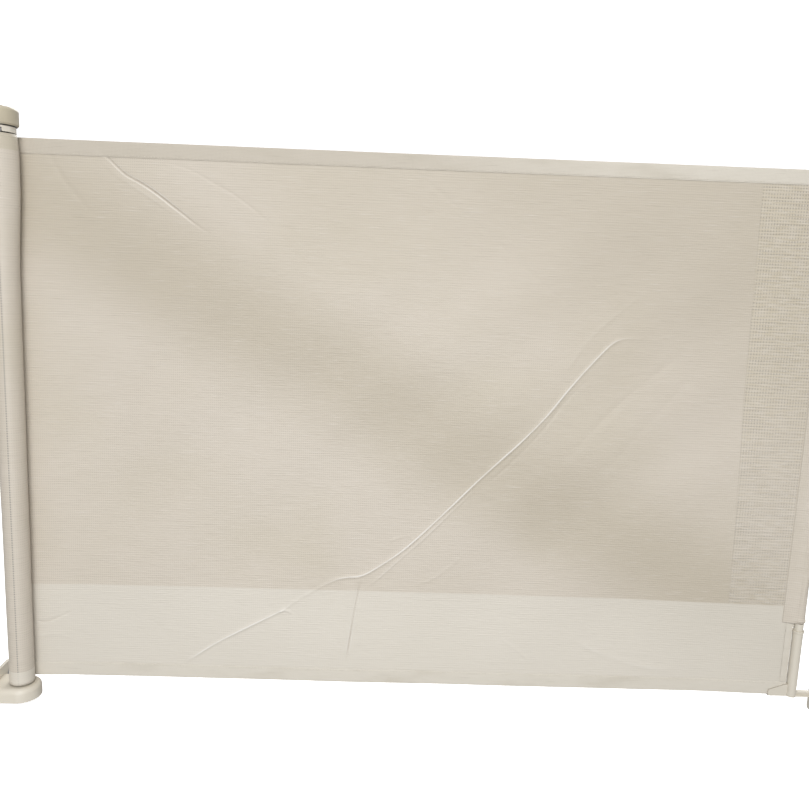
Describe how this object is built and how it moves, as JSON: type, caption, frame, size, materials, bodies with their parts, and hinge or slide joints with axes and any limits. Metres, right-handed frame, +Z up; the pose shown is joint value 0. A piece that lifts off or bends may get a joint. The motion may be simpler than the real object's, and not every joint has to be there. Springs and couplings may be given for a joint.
{
  "type": "retractable mesh safety gate",
  "caption": "Retractable child safety gate: a spring roller on wall brackets winds a see-through mesh screen, whose pull bar drops onto catches across the doorway.",
  "frame": {"origin": "on the roller's wall, level with the screen's bottom edge and straight behind the roller's axis", "axes": "+X from the roller's wall to the catches' wall, -Y towards the user in front, +Z up"},
  "size_m": [1.308, 0.084, 0.889],
  "materials": {
    "shell": "satin cream moulded plastic",
    "cap": "satin moulded plastic, a little deeper cream",
    "inner": "grey nylon",
    "steel": "zinc-plated steel",
    "tube": "drawn tube",
    "mesh": "coated polyester mesh with fine crosswise ribs",
    "hem": "folded mesh hem, two layers"
  },
  "bodies": {
    "root": {"lower_roller_bracket": "shell", "upper_roller_bracket": "shell", "lower_bracket_screw_front": "steel", "lower_bracket_screw_back": "steel", "upper_bracket_screw_front": "steel", "upper_bracket_screw_back": "steel", "lower_bush": "inner", "upper_bush": "inner", "spring_arbor": "steel", "torsion_spring": "steel", "spring_collar": "inner", "pawl_pin": "steel", "pawl_spring": "steel", "dial_retaining_ring": "steel", "lower_catch": "shell", "upper_catch": "shell", "lower_catch_screw_low": "steel", "lower_catch_screw_high": "steel", "upper_catch_screw_low": "steel", "upper_catch_screw_high": "steel"},
    "roller": {"roller_tube": "tube", "lower_end_plug": "inner", "upper_end_plug": "inner", "arbor_bearing": "inner", "mesh_spline": "inner", "ratchet_wheel": "steel", "mesh_roll": "mesh"},
    "screen": {"mesh_screen": "mesh", "top_hem": "hem", "bottom_hem": "hem"},
    "pull_bar": {"bar_tube": "tube", "bar_lower_sleeve": "shell", "bar_upper_sleeve": "shell", "lower_sleeve_screw": "steel", "upper_sleeve_screw": "steel", "bar_pocket": "mesh"},
    "dial": {"lock_dial": "cap", "dial_cam": "inner", "cam_screw_1": "steel", "cam_screw_2": "steel", "button_spring": "steel"},
    "button": {"release_button": "shell"},
    "pawl": {"lock_pawl": "inner"}
  },
  "joints": [
    {"name": "screen_draw", "type": "slide", "parent": "root", "child": "screen", "axis": [-1, 0, 0], "range_m": [0, 1.13778], "deforming": ["mesh_screen", "top_hem", "bottom_hem"]},
    {"name": "bar_lift", "type": "slide", "parent": "screen", "child": "pull_bar", "axis": [0, 0, 1], "range_m": [0, 0.012]},
    {"name": "roller_spin", "type": "hinge", "parent": "root", "child": "roller", "pos_m": [0.042, 0, 0.41], "axis": [0, 0, 1], "range_deg": [0, 3180.01], "deforming": ["torsion_spring"]},
    {"name": "dial_turn", "type": "hinge", "parent": "root", "child": "dial", "pos_m": [0.042, 0, 0.843], "axis": [0, 0, 1], "range_deg": [0, 50]},
    {"name": "pawl_swing", "type": "hinge", "parent": "root", "child": "pawl", "pos_m": [0.05127, -0.01484, 0.8245], "axis": [0, 0, 1], "range_deg": [-14, 0], "deforming": ["pawl_spring"]},
    {"name": "button_press", "type": "slide", "parent": "dial", "child": "button", "axis": [0, 0, -1], "range_m": [0, 0.0025], "stiffness_N_per_m": 400, "deforming": ["button_spring"]}
  ],
  "couplings": [
    {"joint": "roller_spin", "follows": "screen_draw", "rad_per_m": 48.78},
    {"joint": "pawl_swing", "follows": "dial_turn", "ratio": -0.28}
  ]
}
